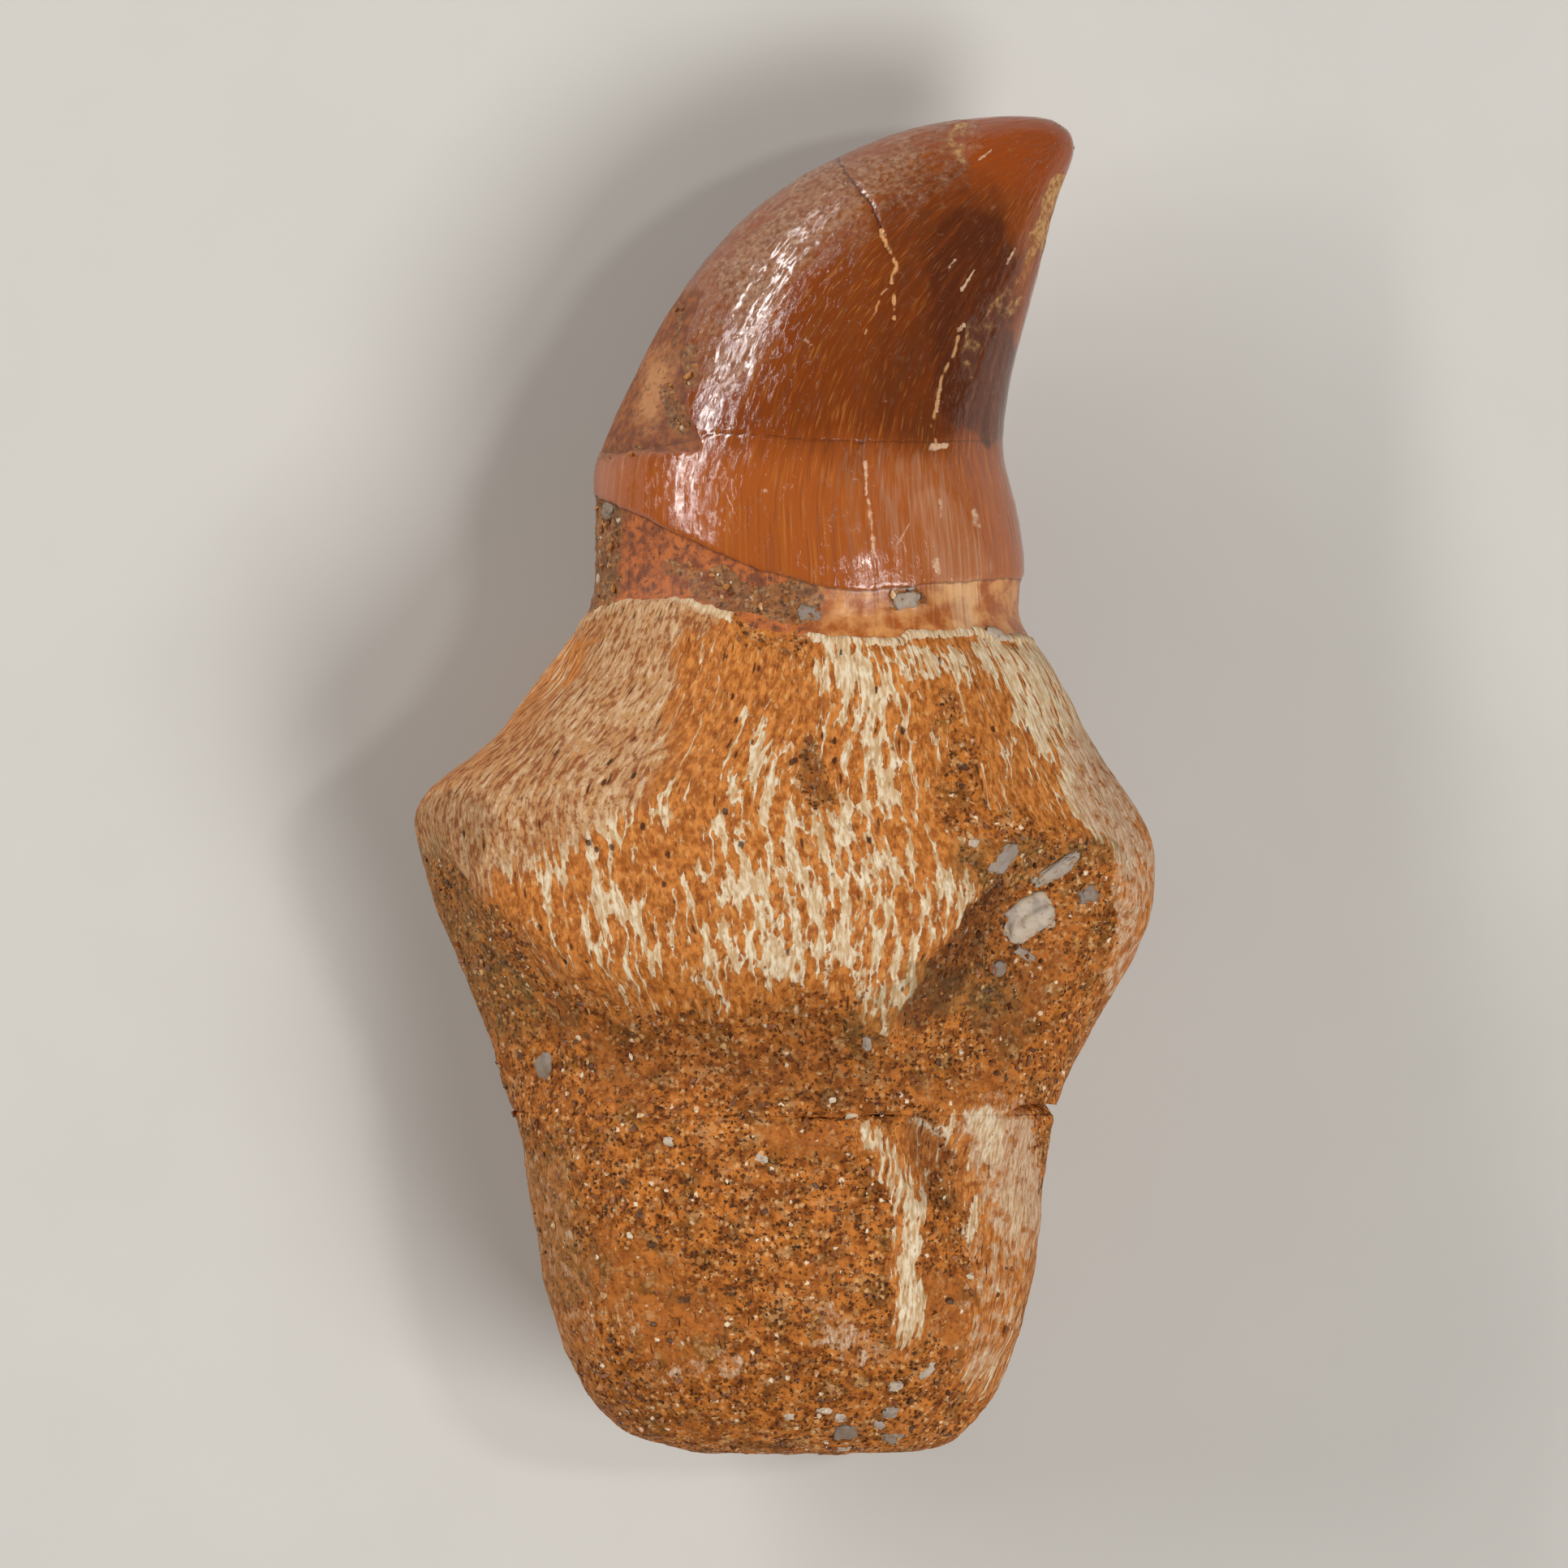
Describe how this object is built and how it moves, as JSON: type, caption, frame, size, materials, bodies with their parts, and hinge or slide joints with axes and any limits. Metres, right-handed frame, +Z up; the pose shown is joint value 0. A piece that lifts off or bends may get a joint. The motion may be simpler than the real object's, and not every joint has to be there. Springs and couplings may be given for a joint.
{
  "type": "fossil tooth",
  "caption": "Fossil tooth of a marine lizard: a hooked glossy crown on a broad, flared root of fibrous bone with sandy rock in its hollows, lying on its back.",
  "frame": {"origin": "middle of the tooth's box, on the surface that the tooth lies on", "axes": "+Y along the tooth from the broken end of the root to the crown's tip, +Z up from the surface to the side that shows, and the crown hooks towards +X"},
  "size_m": [0.0302, 0.0542, 0.0192],
  "materials": {
    "fossil_bone": "Mineralised tooth: glossy red-brown enamel on the crown, matt fibrous cream and orange bone on the root, with patches of brown sandy rock."
  },
  "bodies": {
    "root": {"tooth": "fossil_bone"}
  },
  "joints": []
}
